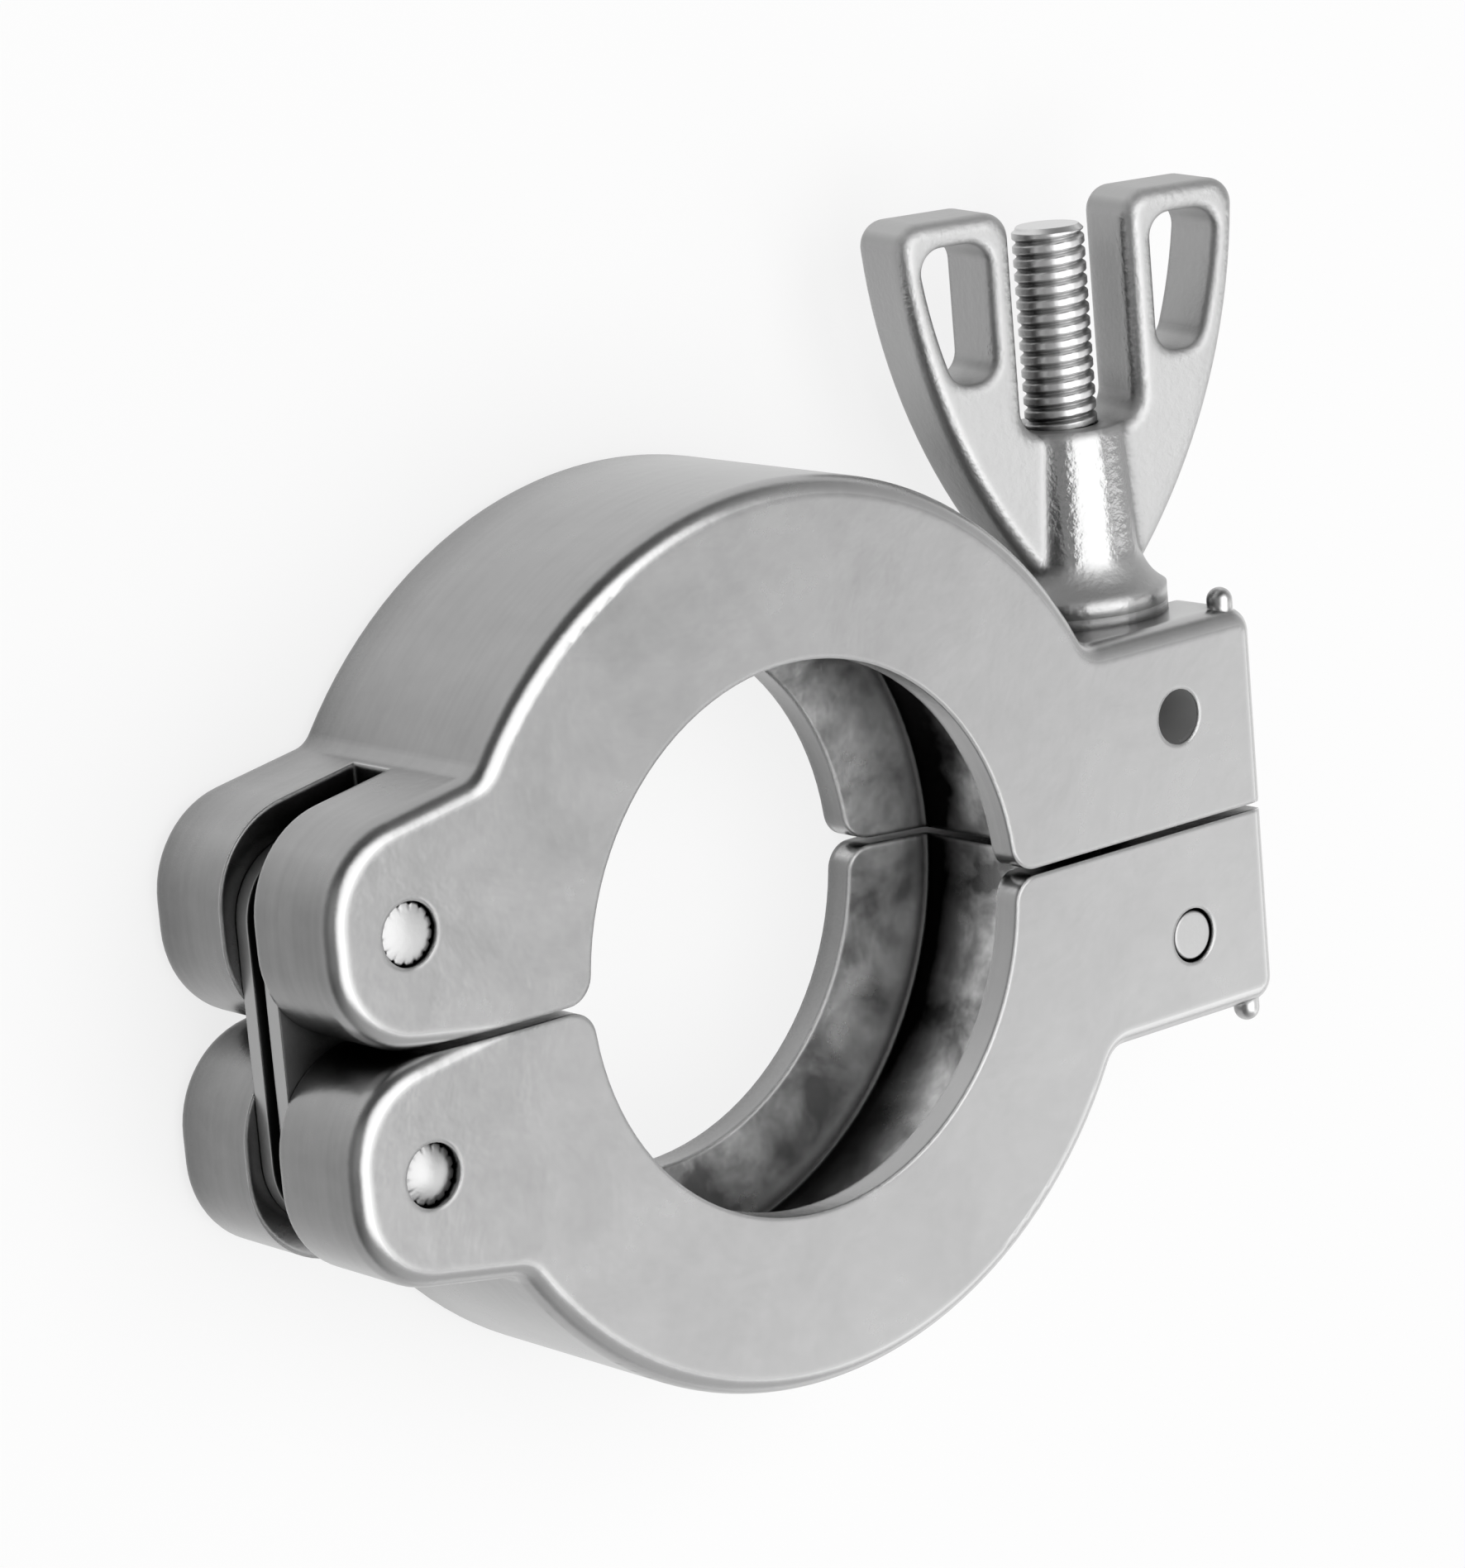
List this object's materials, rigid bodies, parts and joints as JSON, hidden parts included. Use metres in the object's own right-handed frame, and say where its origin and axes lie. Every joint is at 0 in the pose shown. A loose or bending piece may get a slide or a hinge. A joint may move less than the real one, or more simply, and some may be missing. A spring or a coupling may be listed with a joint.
{
  "type": "vacuum flange clamp",
  "caption": "Hinged flange clamp: two grooved half rings joined by a link, drawn together by a swing bolt and a wing nut.",
  "frame": {"origin": "on the bore axis, half way between the front and back faces, in the parting plane of the closed jaws", "axes": "+Z along the bore towards the front face, +X from the hinge to the swing bolt, +Y from the lower jaw to the upper jaw and up the closed bolt; it lies on its back face"},
  "size_m": [0.0717, 0.061, 0.016],
  "materials": {
    "jaw": "fine blasted casting, satin",
    "link": "stamped sheet, satin",
    "pin": "turned, bright",
    "bolt": "rolled thread, plated",
    "washer": "plated, bright",
    "nut": "cast and plated, satin"
  },
  "bodies": {
    "lower_jaw": {"lower_jaw": "jaw", "lower_hinge_pin": "pin", "bolt_pin": "pin"},
    "link": {"link_plate_front": "link", "link_plate_back": "link"},
    "upper_jaw": {"upper_jaw": "jaw", "upper_hinge_pin": "pin"},
    "swing_bolt": {"swing_bolt": "bolt"},
    "washer": {"washer": "washer"},
    "wing_nut": {"wing_nut": "nut"}
  },
  "joints": [
    {"name": "link_hinge", "type": "hinge", "parent": "lower_jaw", "child": "link", "pos_m": [-0.02665, -0.00645, 0], "axis": [0, 0, 1], "range_deg": [0, 3]},
    {"name": "upper_jaw_hinge", "type": "hinge", "parent": "link", "child": "upper_jaw", "pos_m": [-0.02665, 0.00645, 0], "axis": [0, 0, 1], "range_deg": [0, 4.5]},
    {"name": "bolt_swing", "type": "hinge", "parent": "lower_jaw", "child": "swing_bolt", "pos_m": [0.0287, -0.00645, 0], "axis": [0, 0, -1], "range_deg": [0, 45]},
    {"name": "nut_travel", "type": "slide", "parent": "swing_bolt", "child": "washer", "axis": [0, 1, 0], "range_m": [0, 0.01826]},
    {"name": "nut_spin", "type": "hinge", "parent": "washer", "child": "wing_nut", "pos_m": [0.0287, 0.01235, 0], "axis": [0, 1, 0], "range_deg": [0, 8280]}
  ],
  "couplings": [
    {"joint": "nut_travel", "follows": "nut_spin", "m_per_rad": 0.00012633},
    {"joint": "bolt_swing", "follows": "nut_spin", "ratio": 0.0054348},
    {"joint": "link_hinge", "follows": "nut_spin", "ratio": 0.00036232},
    {"joint": "upper_jaw_hinge", "follows": "nut_spin", "ratio": 0.00054348}
  ]
}
